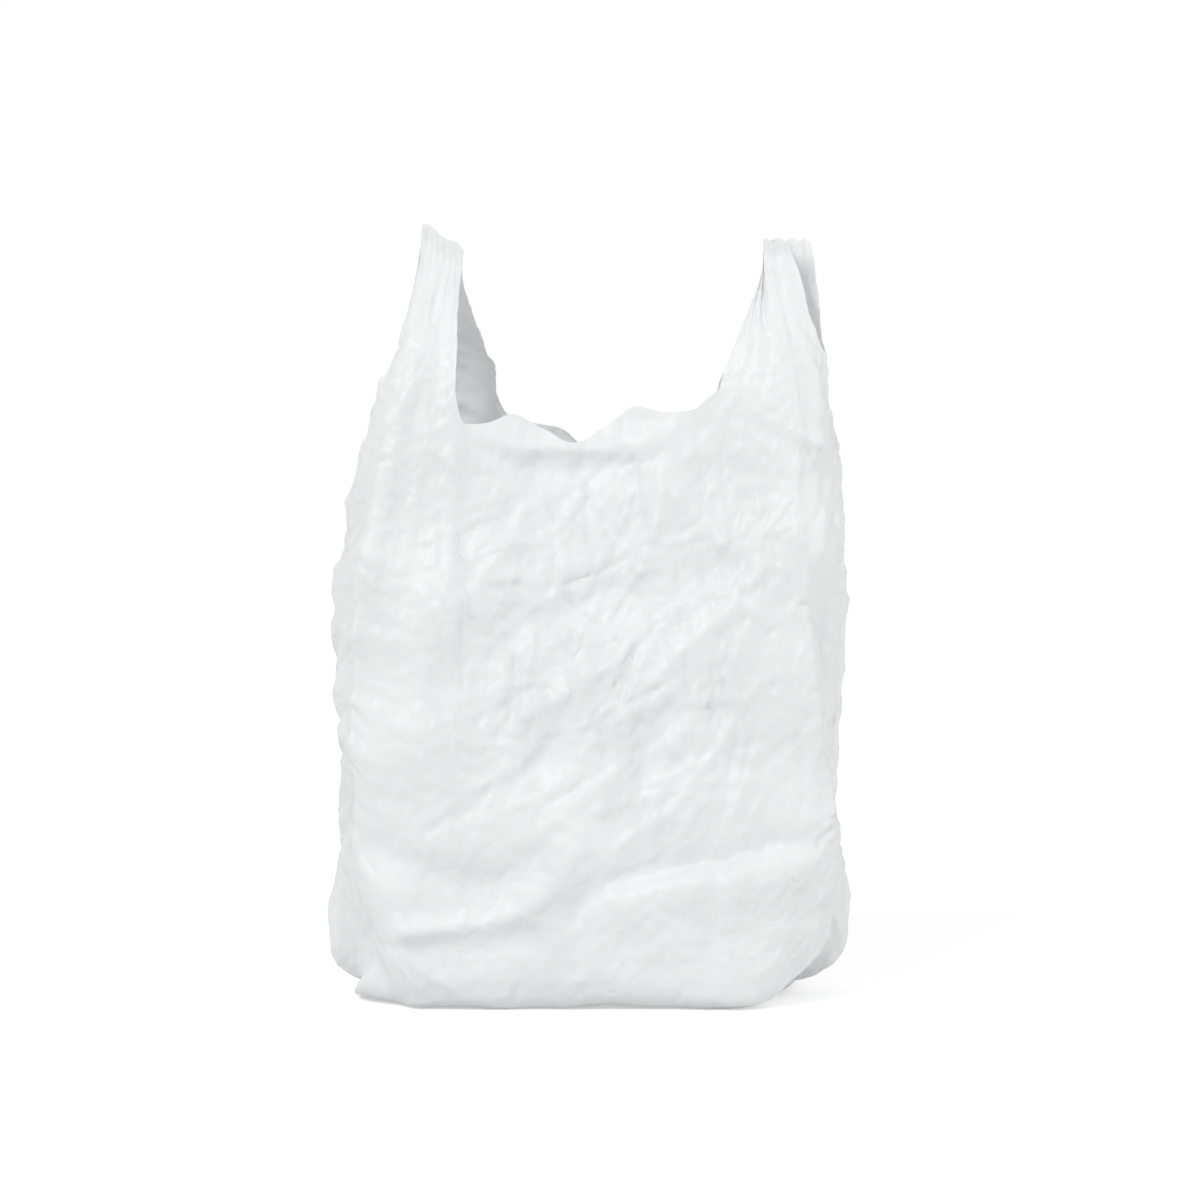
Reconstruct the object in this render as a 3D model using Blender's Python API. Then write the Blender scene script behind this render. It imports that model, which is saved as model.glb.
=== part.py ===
"""A vest-style carrier bag of thin white film, standing open on its base.

The bag is one blown tube of film with a pleat down each side. One weld closes the base, and one weld
closes the top of each handle through all four layers. A cut between the straps makes the mouth, and
where it crosses the pleats it takes out their middle. So each handle is a front strap and a back
strap, each folded round its own corner, that meet only at their weld and leave a way through.

Metres, +Z up. The front looks towards -Y, and the origin is on the floor under the middle of the bag.
"""

import math

import bmesh
import bpy
from mathutils import Matrix, Vector

# The flat bag
MOUTH_WIDTH = 0.160
STRAP_WIDTH = 0.070
NOTCH_WIDTH = 0.030
FILM = 0.0003
PLY_GAP = 0.0005

# The standing bag
MOUTH_HEIGHT = 0.360
FLOOR_REACH = 0.062
PLEAT_FLOOR = 0.058
NOTCH_RISE = 0.008
CUT_CORNER = 0.018

# How far the back's left cut edge stands inwards from the front's
BACK_LEFT_SHIFT = 0.022

# The welds
BASE_WELD_LENGTH = 0.292
BASE_WELD_HEIGHT = 0.0040
BASE_WELD_CLEAR = 0.0004
HANDLE_WELD_HEIGHT = 0.009
WELD_COVER = 0.0004

# The gathered tops of the handles. A lean runs outwards from the straps' cut edges.
LEFT_HANDLE_LEAN = -0.006
LEFT_HANDLE_WIDTH = 0.026
LEFT_HANDLE_RISE = 0.118
LEFT_HANDLE_SLANT = 0.0085
RIGHT_HANDLE_LEAN = 0.032
RIGHT_HANDLE_WIDTH = 0.028
RIGHT_HANDLE_RISE = 0.114
RIGHT_HANDLE_SLANT = 0.002
HANDLE_BACK_LEAN = 0.002
STRAP_FOLDS = 6
STRAP_RIPPLE = 0.0018
# How late a strap's corner fold, its plies' depth and its pleat's width give way as the strap rises
CORNER_LAG = 1.15
DEPTH_LAG = 2.2
PLEAT_LAG = 4

# How far the middle of each face is sunk between the straps, and the softer forms of the film
FRONT_SINK = 0.016
BACK_SINK = 0.014
RIM_ROLL = 0.005
BACK_DRAW = 0.006
BACK_BOW = 0.007
PLEAT_SWELL = 0.006

# How fine the mesh is
BODY_ROWS = 28
HANDLE_ROWS = 9
FRONT_SPANS = 14
BACK_SPANS = 8
NOTCH_SPANS = 2
CUT_CROWDING = 0.6
# Where the rows of the mesh stand: share of the rows, and share of the film from the base weld up
ROW_SHARES = ((0, 0.0), (0.15, 0.145), (0.28, 0.21), (0.58, 0.42), (0.85, 0.84), (1, 1.0))

FILM_COLOUR = (0.90, 0.905, 0.91, 1.0)
FILM_ROUGHNESS = 0.42

# How the corners and the pleats stand, as stations from the base weld (0) to the mouth (1). Insets run
# inwards from the flat bag's edge, and bulges outwards from it.
LEFT_FRONT_INSET = (
    (0, 0.004), (0.05, 0.011), (0.1, 0.019), (0.15, 0.025), (0.25, 0.011), (0.33, 0.006), (0.7, 0.010),
    (0.9, 0.021), (1.05, 0.031),
)
RIGHT_FRONT_INSET = ((0, 0.004), (0.1, -0.003), (0.3, -0.003), (0.52, 0.009), (0.75, 0.018), (1.05, 0.020))
LEFT_BACK_INSET = ((0, 0.004), (0.1, 0.010), (0.3, 0.004), (0.6, 0.006), (0.85, 0.014), (1.05, 0.030))
RIGHT_BACK_INSET = ((0, 0.004), (0.1, 0.006), (0.3, 0.001), (0.6, 0.008), (0.85, 0.014), (1.05, 0.021))
LEFT_BULGE = ((0.28, 0.0145), (0.42, 0.0), (0.62, 0.008), (0.8, 0.0), (0.93, -0.011), (1.05, -0.021))
RIGHT_BULGE = ((0.26, 0.0145), (0.4, 0.008), (0.7, 0.0145), (0.88, 0.011), (1.05, 0.003))
CORNER_DEPTH = (
    (0, 0.0), (0.05, 0.021), (0.12, 0.044), (0.25, 0.062), (0.5, 0.070), (0.75, 0.066), (0.9, 0.060),
    (1.05, 0.050),
)
# Heights of the corners: most lie low beside the base weld, and one stands off the floor
LOW_CORNER = (
    (0, 0.0), (0.05, 0.015), (0.1, 0.028), (0.15, 0.045), (0.25, 0.084), (0.4, 0.142), (1, 0.360),
    (1.05, 0.378),
)
HIGH_CORNER = ((0, 0.0), (0.1, 0.036), (1, 0.360), (1.05, 0.378))
# How far the middle of a face stands beyond the line where it leaves the floor, by height
FRONT_BELLY = ((0, 0), (0.02, 0.006), (0.07, 0.012), (0.2, 0.016), (0.45, 0.013), (0.75, 0.002), (1, -0.012))
BACK_BELLY = ((0, 0), (0.02, 0.006), (0.07, 0.012), (0.2, 0.016), (0.45, 0.015), (0.75, 0.007), (1, -0.006))
# The tucked stretch of a pleat's middle: share of the stretch, of its way out, and of its way up
TUCK = ((0, 0.0, 0.0), (0.45, 0.50, 0.17), (0.8, 0.90, 0.51), (1, 1.0, 1.0))
# The middle part of a face that leaves the floor as one, as a share of its half width on either side
LEFT_FLAT_CORE = 0.76
RIGHT_FLAT_CORE = 0.62
# The mouth's cut edge: place across the face, and height over the mouth's level
FRONT_CUT = (
    (-0.080, 0.0), (-0.058, 0.001), (-0.046, 0.0055), (-0.034, 0.002), (-0.022, -0.003), (-0.008, -0.009),
    (0.008, -0.003), (0.023, 0.005), (0.032, 0.0095), (0.042, 0.007), (0.054, 0.006), (0.064, 0.007),
    (0.080, 0.008),
)
BACK_CUT = (
    (-0.080, 0.004), (-0.050, -0.001), (-0.028, 0.003), (0.0, -0.009), (0.035, 0.001), (0.080, -0.002),
)
# The front's large folds: each line as places across and up, its height, and its widths to the left and
# the right of the line, or at its start and its end
UPRIGHT_FOLD = ((-0.085, 0.185), (-0.083, 0.258), (-0.081, 0.307), (-0.079, 0.360))
UPRIGHT_FOLD_SIZE = (0.0034, 0.024, 0.006)
DRAWN_FOLD = ((0.060, 0.366), (0.046, 0.327), (0.033, 0.279), (0.015, 0.238), (0.002, 0.207), (-0.005, 0.172))
DRAWN_FOLD_SIZE = (0.0036, 0.016, 0.007)
SLANT_FOLD = ((-0.008, 0.104), (0.026, 0.166), (0.043, 0.197), (0.060, 0.228), (0.098, 0.258))
SLANT_FOLD_SIZE = (0.0036, 0.018, 0.009)
SWAG_FOLD = ((-0.080, 0.360), (-0.040, 0.346), (-0.005, 0.341), (0.035, 0.349), (0.066, 0.363))
SWAG_FOLD_SIZE = (0.0040, 0.010, 0.006)
SHELF_FOLD = ((0.152, 0.095), (0.118, 0.093), (0.084, 0.085), (0.043, 0.078), (0.015, 0.070), (-0.008, 0.052))
SHELF_FOLD_SIZE = (0.0065, 0.026, 0.007)
BOW_FOLD = (
    (-0.003, 0.106), (-0.011, 0.097), (-0.020, 0.081), (-0.039, 0.063), (-0.063, 0.055), (-0.110, 0.050),
)
BOW_FOLD_SIZE = (0.0065, 0.011, 0.008)
UPPER_HOLLOW = ((-0.135, 0.104), (-0.100, 0.088), (-0.054, 0.080), (-0.034, 0.094))
UPPER_HOLLOW_SIZE = (-0.0050, 0.011, 0.011)
LOWER_HOLLOW = ((-0.112, 0.038), (-0.070, 0.040), (-0.035, 0.046))
LOWER_HOLLOW_SIZE = (-0.0036, 0.009, 0.009)
FOLD_END = 0.18

FACE_WIDTH = MOUTH_WIDTH + 2 * STRAP_WIDTH
PLEAT_WIDTH = NOTCH_WIDTH + 2 * STRAP_WIDTH
HALF_FACE = FACE_WIDTH / 2
HALF_MOUTH = MOUTH_WIDTH / 2
HALF_PLEAT = PLEAT_WIDTH / 2
PLY_STEP = FILM + PLY_GAP
FILM_RUN = FLOOR_REACH + MOUTH_HEIGHT
SHOULDER = MOUTH_HEIGHT + CUT_CORNER

LEFT, RIGHT = -1, 1
FRONT, BACK = -1, 1
INSETS = {
    (LEFT, FRONT): LEFT_FRONT_INSET,
    (RIGHT, FRONT): RIGHT_FRONT_INSET,
    (LEFT, BACK): LEFT_BACK_INSET,
    (RIGHT, BACK): RIGHT_BACK_INSET,
}
CORNER_HEIGHTS = {
    (LEFT, FRONT): LOW_CORNER,
    (RIGHT, FRONT): HIGH_CORNER,
    (LEFT, BACK): LOW_CORNER,
    (RIGHT, BACK): LOW_CORNER,
}
BULGES = {LEFT: LEFT_BULGE, RIGHT: RIGHT_BULGE}
BELLIES = {FRONT: FRONT_BELLY, BACK: BACK_BELLY}
FLAT_CORES = {LEFT: LEFT_FLAT_CORE, RIGHT: RIGHT_FLAT_CORE}
CUTS = {FRONT: FRONT_CUT, BACK: BACK_CUT}
SPANS = {FRONT: FRONT_SPANS, BACK: BACK_SPANS}
HANDLE_LEAN = {LEFT: LEFT_HANDLE_LEAN, RIGHT: RIGHT_HANDLE_LEAN}
HANDLE_WIDTH = {LEFT: LEFT_HANDLE_WIDTH, RIGHT: RIGHT_HANDLE_WIDTH}
HANDLE_RISE = {LEFT: LEFT_HANDLE_RISE, RIGHT: RIGHT_HANDLE_RISE}
HANDLE_SLANT = {LEFT: LEFT_HANDLE_SLANT, RIGHT: RIGHT_HANDLE_SLANT}


def ramp(low, high, value):
    """0 below low, 1 above high, and a smooth rise between."""
    share = min(1.0, max(0.0, (value - low) / (high - low)))
    return share * share * (3 - 2 * share)


def hill(value, centre, width):
    """A smooth hill of height 1 at the centre."""
    return math.exp(-(((value - centre) / width) ** 2))


def along(stations, where, column=1):
    """A smooth curve through the stations, read at one place."""
    last = len(stations) - 1
    if where <= stations[0][0]:
        return stations[0][column]
    if where >= stations[last][0]:
        return stations[last][column]
    i = next(k for k in range(last) if where <= stations[k + 1][0])
    before, after = max(i - 1, 0), min(i + 2, last)
    low, high = stations[i][column], stations[i + 1][column]
    span = stations[i + 1][0] - stations[i][0]
    t = (where - stations[i][0]) / span
    rise_low = span * (high - stations[before][column]) / (stations[i + 1][0] - stations[before][0])
    rise_high = span * (stations[after][column] - low) / (stations[after][0] - stations[i][0])
    ease = t * t * (3 - 2 * t)
    return low + (high - low) * ease + rise_low * t * (1 - t) ** 2 - rise_high * t * t * (1 - t)


def floor_height(from_weld):
    """Height of the film's middle on the floor: flat, and lifted to the base weld next to it."""
    lift = BASE_WELD_CLEAR + BASE_WELD_HEIGHT / 2 - FILM / 2
    return FILM / 2 + lift * (1 - ramp(0.0, 3 * BASE_WELD_HEIGHT, from_weld))


def corner_line(side, face, rise, plies_in=1.0):
    """The fold between a face and a pleat. It starts at the end of the base weld, where the face's own
    ply lies 1.5 plies from the middle and the pleat's lies 0.5."""
    x = side * (HALF_FACE - along(INSETS[side, face], rise))
    y = face * (plies_in * PLY_STEP + along(CORNER_DEPTH, rise))
    return Vector((x, y, max(floor_height(0), along(CORNER_HEIGHTS[side, face], rise))))


def middle_line(face, rise):
    """The middle of a face: out along the floor from the base weld, then up."""
    run = rise * FILM_RUN
    if run < FLOOR_REACH:
        return Vector((0, face * max(1.5 * PLY_STEP, run), floor_height(run)))
    z = run - FLOOR_REACH
    y = FLOOR_REACH + along(BELLIES[face], z / MOUTH_HEIGHT)
    return Vector((0, face * y, z + FILM / 2))


def pleat_line(side, rise):
    """The middle of a pleat: out over the base from deep in the bag, then up the side."""
    bulge = BULGES[side]
    tuck_end, end_bulge = bulge[0]
    start_x = BASE_WELD_LENGTH / 2 - HALF_PLEAT
    start_z = floor_height(0)
    if rise < tuck_end:
        share = rise / tuck_end
        x = start_x + (HALF_FACE + end_bulge - start_x) * along(TUCK, share, 1)
        z = start_z + (PLEAT_FLOOR - start_z) * along(TUCK, share, 2)
        return Vector((side * x, 0, z))
    x = HALF_FACE + along(bulge, rise)
    z = PLEAT_FLOOR + (MOUTH_HEIGHT - PLEAT_FLOOR) * (rise - tuck_end) / (1 - tuck_end)
    return Vector((side * x, 0, z))


def cut_rise(face, x):
    """Height of the mouth's cut edge over its own level, with a round corner at each strap."""
    into_corner = min(max(0.0, abs(x) - (HALF_MOUTH - CUT_CORNER)), CUT_CORNER)
    corner = CUT_CORNER - math.sqrt(CUT_CORNER**2 - into_corner**2)
    return along(CUTS[face], x) + corner


def beside(x, z, line):
    """Distance from a line, positive on its right, and the share of the line where its nearest point is."""
    place = Vector((x, z))
    found = (1e9, 0.0, 0.0)
    lengths = [(Vector(b) - Vector(a)).length for a, b in zip(line, line[1:])]
    run = 0.0
    for start, end, length in zip(line, line[1:], lengths):
        way = (Vector(end) - Vector(start)) / length
        offset = place - Vector(start)
        t = min(max(offset.dot(way), 0.0), length)
        distance = (offset - way * t).length
        side = 1 if way.y * offset.x - way.x * offset.y > 0 else -1
        found = min(found, (distance, side * distance, (run + t) / sum(lengths)))
        run += length
    return found[1], found[2]


def ledge(x, z, line, size):
    """A fold that falls off at its own width on either side of its line, and fades at both ends."""
    height, left, right = size
    signed, share = beside(x, z, line)
    ends = ramp(0.0, FOLD_END, share) * (1 - ramp(1 - FOLD_END, 1.0, share))
    return height * hill(signed, 0, left if signed < 0 else right) * ends


def ridge(x, z, line, size):
    """A rounded fold along a line, or a hollow, with one width at its start and one at its end."""
    height, first, last = size
    signed, share = beside(x, z, line)
    return height * hill(signed, 0, first + (last - first) * share)


def front_relief(x, z):
    """How far the front stands out at a place, where its film is drawn up, folded or sunk in."""
    up = z / MOUTH_HEIGHT
    across = x / HALF_FACE
    out = -FRONT_SINK * ramp(0.35, 0.95, up) * hill(across, 0.02, 0.42)
    out += RIM_ROLL * (hill(up, 0.965, 0.02) - hill(up, 0.915, 0.025)) * hill(across, 0, 0.55)
    out += ledge(x, z, UPRIGHT_FOLD, UPRIGHT_FOLD_SIZE)
    out += ledge(x, z, DRAWN_FOLD, DRAWN_FOLD_SIZE)
    out += ledge(x, z, SLANT_FOLD, SLANT_FOLD_SIZE)
    out += ledge(x, z, SWAG_FOLD, SWAG_FOLD_SIZE)
    out += ledge(x, z, SHELF_FOLD, SHELF_FOLD_SIZE)
    out += ridge(x, z, BOW_FOLD, BOW_FOLD_SIZE)
    out += ridge(x, z, UPPER_HOLLOW, UPPER_HOLLOW_SIZE)
    out += ridge(x, z, LOWER_HOLLOW, LOWER_HOLLOW_SIZE)
    return out


def back_relief(x, z):
    """The same for the back, which is sunk between the straps and drawn up to each of them."""
    up = z / MOUTH_HEIGHT
    across = x / HALF_FACE
    sunk = -BACK_SINK * ramp(0.4, 1.0, up) * hill(across, 0, 0.45)
    drawn = BACK_DRAW * ramp(0.35, 0.6, up) * (hill(across, -0.5, 0.1) + hill(across, 0.45, 0.1))
    bow = BACK_BOW * hill(up, 0.2 + 0.08 * across, 0.05) * hill(across, 0.2, 0.4)
    return sunk + drawn + bow


RELIEFS = {FRONT: front_relief, BACK: back_relief}


def face_point(face, film, rise):
    """A place on the front or the back. film runs from the left corner to the right one."""
    left, right = corner_line(LEFT, face, rise, 1.5), corner_line(RIGHT, face, rise, 1.5)
    edge = -HALF_MOUTH + (BACK_LEFT_SHIFT * ramp(0.45, 1.0, rise) if face == BACK else 0)
    if film < STRAP_WIDTH:
        x = left.x + (edge - left.x) * film / STRAP_WIDTH
    elif film > FACE_WIDTH - STRAP_WIDTH:
        x = right.x + (HALF_MOUTH - right.x) * (FACE_WIDTH - film) / STRAP_WIDTH
    else:
        x = edge + (HALF_MOUTH - edge) * (film - STRAP_WIDTH) / MOUTH_WIDTH
    share = film / FACE_WIDTH
    flat = FLAT_CORES[LEFT if share < 0.5 else RIGHT]
    rim = max(0.0, (abs(2 * share - 1) - flat) / (1 - flat))
    core = 1 - rim * rim
    side = left.lerp(right, share)
    middle = middle_line(face, rise)
    y = side.y + (middle.y - side.y) * core
    z = side.z + (middle.z - side.z) * core
    from_corner = 1 - abs(2 * share - 1)
    relief = RELIEFS[face](x, z) * ramp(0.02, 0.10, z) * ramp(0.0, 0.12, from_corner)
    return Vector((x, y + face * relief, z))


def pleat_point(side, film, rise):
    """A place on a side pleat. film runs from the front corner to the back one."""
    share = film / HALF_PLEAT
    face = FRONT if share < 1 else BACK
    inward = share if share < 1 else 2 - share
    corner, middle = corner_line(side, face, rise, 0.5), pleat_line(side, rise)
    place = corner.lerp(middle, inward)
    in_weld = 1 - ramp(0, 0.05, rise)
    ply_y = face * PLY_STEP * 0.5 * min(1.0, 8 * (1 - inward))
    place.y += (ply_y - place.y) * in_weld
    place.x += side * PLEAT_SWELL * math.sin(math.pi * inward) * ramp(0.3, 0.6, rise)
    return place


def gathered_ply_step(side):
    """Spacing of the plies in a gathered handle, where the folds stand steep."""
    return PLY_STEP * STRAP_WIDTH / HANDLE_WIDTH[side]


def fold_height(side):
    """How far a fold of the gathered handle stands from its middle plane."""
    film, width = STRAP_WIDTH / STRAP_FOLDS, HANDLE_WIDTH[side] / STRAP_FOLDS
    return math.sqrt(film**2 - width**2) / 2


def fold_wave(across):
    """Which way the film is folded at a column of a strap: 1, -1, or 0 at the strap's edges."""
    fold = round(across * STRAP_FOLDS)
    return 0 if fold in (0, STRAP_FOLDS) else (-1) ** fold


def strap_foot(side, face):
    """Where a strap starts: its corner fold, and the ways from there to its two cut edges."""
    rise = SHOULDER / MOUTH_HEIGHT
    fold = corner_line(side, face, rise)
    on_face = face_point(face, STRAP_WIDTH if side == LEFT else FACE_WIDTH - STRAP_WIDTH, rise)
    on_pleat = pleat_point(side, STRAP_WIDTH if face == FRONT else PLEAT_WIDTH - STRAP_WIDTH, rise)
    return fold, (on_face - fold).xy, (on_pleat - fold).xy


def weld_top(side, across):
    """The middle of a handle weld's upper edge, from the corner fold (0) to the cut edge (1)."""
    inner = HALF_MOUTH + HANDLE_LEAN[side]
    x = inner + HANDLE_WIDTH[side] * (1 - across)
    z = MOUTH_HEIGHT + HANDLE_RISE[side] + HANDLE_SLANT[side] * (1 - across)
    return Vector((side * x, HANDLE_BACK_LEAN, z))


class Column:
    """One line of film from the base weld to the cut edge. In a strap it goes on to the handle weld."""

    def __init__(self, side, face, film, on_pleat):
        self.side = side
        self.face = face
        self.film = film
        self.on_pleat = on_pleat
        from_corner = min(film, (PLEAT_WIDTH if on_pleat else FACE_WIDTH) - film)
        self.across = from_corner / STRAP_WIDTH
        self.in_strap = self.across < 1.001
        if self.in_strap:
            self.top = SHOULDER
        elif on_pleat:
            self.top = MOUTH_HEIGHT + NOTCH_RISE
        else:
            self.top = MOUTH_HEIGHT + cut_rise(face, film - HALF_FACE)

    def place(self, film, rise):
        if self.on_pleat:
            return pleat_point(self.side, film, rise)
        return face_point(self.face, film, rise)

    def body_point(self, share):
        place = self.place(self.film, share * self.top / MOUTH_HEIGHT)
        if self.in_strap:
            ripple = STRAP_RIPPLE * fold_wave(self.across) * ramp(0.75, 1.0, share)
            if self.on_pleat:
                place.x += self.side * ripple
            else:
                place.y += ripple
        return place

    def strap_line(self, share):
        """Where this column would stand at a height of the strap, if the strap's foot were straight. Both
        plies share their folds, and the pleat's ply swings in behind the face's."""
        fold, on_face, on_pleat = strap_foot(self.side, self.face)
        head = weld_top(self.side, 0)
        head_y = head.y + self.face * gathered_ply_step(self.side)
        corner_x = fold.x + (head.x - fold.x) * share
        corner_y = head_y + (fold.y - head_y) * (1 - share) ** CORNER_LAG
        inward = on_face.x + (-self.side * HANDLE_WIDTH[self.side] - on_face.x) * share
        towards = on_face.y * (1 - share) ** DEPTH_LAG
        if self.on_pleat:
            inward += (on_pleat.x - on_face.x) * (1 - share) ** PLEAT_LAG
            towards = on_pleat.y * (1 - share) ** DEPTH_LAG
        step = PLY_STEP + (gathered_ply_step(self.side) - PLY_STEP) * share
        ply = step / 2 * (-self.face if self.on_pleat else self.face)
        wave = fold_wave(self.across) * fold_height(self.side) * share
        return Vector((corner_x + inward * self.across, corner_y + towards * self.across + ply + wave))

    def strap_point(self, share):
        """A place on the strap, from its foot at the shoulder (0) to its end inside the weld (1)."""
        foot = self.body_point(1.0)
        flat = self.strap_line(share) + (foot.xy - self.strap_line(0.0)) * (1 - share) ** 2
        top = weld_top(self.side, self.across).z - HANDLE_WELD_HEIGHT / 2
        return Vector((flat.x, flat.y, foot.z + (top - foot.z) * share))


def row_share(row):
    """Share of a column's length at one of its rows, which stand closer in the folds above the floor."""
    return along(ROW_SHARES, row / BODY_ROWS)


def spread(low, high, spans):
    return [low + (high - low) * k / spans for k in range(spans)]


def film_lines(width, cut_spans):
    """Where the columns stand across a face or a pleat, both corners included. Those in the cut stand
    closer near the straps, where its corners are round."""
    low, high = STRAP_WIDTH, width - STRAP_WIDTH
    shares = [k / cut_spans for k in range(cut_spans)]
    crowded = [t - CUT_CROWDING * math.sin(2 * math.pi * t) / (2 * math.pi) for t in shares]
    cut = [low + (high - low) * t for t in crowded]
    return spread(0, low, STRAP_FOLDS) + cut + spread(high, width, STRAP_FOLDS) + [width]


def tube_columns():
    """All columns once round the tube: front, right pleat, back, left pleat. Each corner fold is two
    columns, one in either ply."""
    on_pleat = film_lines(PLEAT_WIDTH, NOTCH_SPANS)

    def face_columns(face):
        lines = film_lines(FACE_WIDTH, SPANS[face])
        lines = lines if face == FRONT else reversed(lines)
        return [Column(LEFT if film < HALF_FACE else RIGHT, face, film, False) for film in lines]

    def pleat_columns(side, lines):
        return [Column(side, FRONT if film < HALF_PLEAT else BACK, film, True) for film in lines]

    front = face_columns(FRONT)
    right = pleat_columns(RIGHT, on_pleat)
    back = face_columns(BACK)
    left = pleat_columns(LEFT, reversed(on_pleat))
    return front + right + back + left


def add_strip(mesh, here, there):
    """Quads between two columns of vertices."""
    for k in range(len(here) - 1):
        mesh.faces.new((here[k], there[k], there[k + 1], here[k + 1]))


def film_mesh():
    """The film's middle surface as one sheet, open at the mouth, the notches and the welds."""
    columns = tube_columns()
    mesh = bmesh.new()
    body, straps = [], []
    for column in columns:
        points = [column.body_point(row_share(row)) for row in range(BODY_ROWS + 1)]
        body.append([mesh.verts.new(point) for point in points])
        strap = None
        if column.in_strap:
            points = [column.strap_point(row / HANDLE_ROWS) for row in range(1, HANDLE_ROWS + 1)]
            strap = [body[-1][-1]] + [mesh.verts.new(point) for point in points]
        straps.append(strap)
    for i in range(len(columns)):
        j = (i + 1) % len(columns)
        add_strip(mesh, body[i], body[j])
        if straps[i] and straps[j]:
            add_strip(mesh, straps[i], straps[j])
    return mesh


def new_object(name, mesh):
    data = bpy.data.meshes.new(name)
    bmesh.ops.recalc_face_normals(mesh, faces=mesh.faces)
    mesh.to_mesh(data)
    mesh.free()
    made = bpy.data.objects.new(name, data)
    bpy.context.scene.collection.objects.link(made)
    return made


def base_weld():
    """The straight weld bar in the middle of the base, which holds the ends of all the plies."""
    mesh = bmesh.new()
    bmesh.ops.create_cube(mesh, size=1.0)
    thickness = 3 * PLY_STEP + FILM + 2 * WELD_COVER
    length = BASE_WELD_LENGTH + FILM + 2 * WELD_COVER
    bmesh.ops.scale(mesh, vec=Vector((length, thickness, BASE_WELD_HEIGHT)), verts=mesh.verts)
    lift = BASE_WELD_CLEAR + BASE_WELD_HEIGHT / 2
    bmesh.ops.translate(mesh, vec=Vector((0, 0, lift)), verts=mesh.verts)
    return new_object("base_weld", mesh)


def handle_weld(side):
    """The weld band at the top of a handle, folded up together with the four plies that it joins."""
    mesh = bmesh.new()
    reach = 1.5 * gathered_ply_step(side) + FILM / 2 + WELD_COVER
    rows = []
    for fold in range(STRAP_FOLDS + 1):
        across = fold / STRAP_FOLDS
        upper = weld_top(side, across)
        upper.y += fold_wave(across) * fold_height(side)
        if fold in (0, STRAP_FOLDS):
            upper.x += side * (WELD_COVER + FILM / 2) * (1 if fold == 0 else -1)
        section = ((-reach, -HANDLE_WELD_HEIGHT), (reach, -HANDLE_WELD_HEIGHT), (reach, 0), (-reach, 0))
        rows.append([mesh.verts.new(upper + Vector((0, y, z))) for y, z in section])
    for here, there in zip(rows, rows[1:]):
        for k in range(4):
            mesh.faces.new((here[k], here[(k + 1) % 4], there[(k + 1) % 4], there[k]))
    mesh.faces.new(rows[0])
    mesh.faces.new(rows[-1])
    return new_object("handle_weld", mesh)


def film_material():
    material = bpy.data.materials.new("white_film")
    material.use_nodes = True
    shader = material.node_tree.nodes["Principled BSDF"]
    shader.inputs["Base Color"].default_value = FILM_COLOUR
    shader.inputs["Roughness"].default_value = FILM_ROUGHNESS
    shader.inputs["Metallic"].default_value = 0.0
    return material


def apply_modifiers(made):
    graph = bpy.context.evaluated_depsgraph_get()
    data = bpy.data.meshes.new_from_object(made.evaluated_get(graph))
    made.modifiers.clear()
    made.data = data


def centre_on_origin(made):
    """Puts the origin on the floor under the middle of the bag's own box."""
    points = [vertex.co for vertex in made.data.vertices]
    low, high = (Vector([pick(p[k] for p in points) for k in range(3)]) for pick in (min, max))
    middle = (low + high) / 2
    made.data.transform(Matrix.Translation(-Vector((middle.x, middle.y, low.z))))


def build():
    for old in list(bpy.data.objects):
        bpy.data.objects.remove(old)
    bag = new_object("bag", film_mesh())
    shell = bag.modifiers.new("film", "SOLIDIFY")
    shell.thickness = FILM
    shell.offset = 0.0
    welds = [base_weld(), handle_weld(LEFT), handle_weld(RIGHT)]
    for weld in welds:
        union = bag.modifiers.new(weld.name, "BOOLEAN")
        union.operation = "UNION"
        union.object = weld
    apply_modifiers(bag)
    for weld in welds:
        bpy.data.objects.remove(weld)
    centre_on_origin(bag)
    bag.data.materials.clear()
    bag.data.materials.append(film_material())
    bag.data.shade_smooth()
    bag.data.set_sharp_from_angle(angle=math.radians(40))


build()
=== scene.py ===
"""A white vest-style carrier bag of thin crumpled film, standing open on a pale floor."""

import math

import bpy
import numpy as np
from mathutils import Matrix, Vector, noise


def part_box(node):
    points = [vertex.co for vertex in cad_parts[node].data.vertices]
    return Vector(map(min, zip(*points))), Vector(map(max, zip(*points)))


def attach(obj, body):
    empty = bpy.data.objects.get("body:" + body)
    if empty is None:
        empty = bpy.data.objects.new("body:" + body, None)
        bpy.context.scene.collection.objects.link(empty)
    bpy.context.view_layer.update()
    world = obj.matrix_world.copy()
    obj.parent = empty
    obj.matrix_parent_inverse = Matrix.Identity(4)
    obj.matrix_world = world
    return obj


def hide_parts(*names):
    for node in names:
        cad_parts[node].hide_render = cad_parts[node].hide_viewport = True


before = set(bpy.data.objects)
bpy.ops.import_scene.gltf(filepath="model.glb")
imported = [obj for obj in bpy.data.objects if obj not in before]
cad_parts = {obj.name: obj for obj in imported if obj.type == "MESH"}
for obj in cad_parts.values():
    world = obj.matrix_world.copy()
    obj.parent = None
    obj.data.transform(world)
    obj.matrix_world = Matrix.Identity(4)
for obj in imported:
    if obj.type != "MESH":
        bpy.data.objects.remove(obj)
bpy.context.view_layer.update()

bag_low, bag_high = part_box("bag")
MM = 0.001

LEFT, RIGHT = -1, 1
FRONT, BACK = -1, 1

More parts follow.
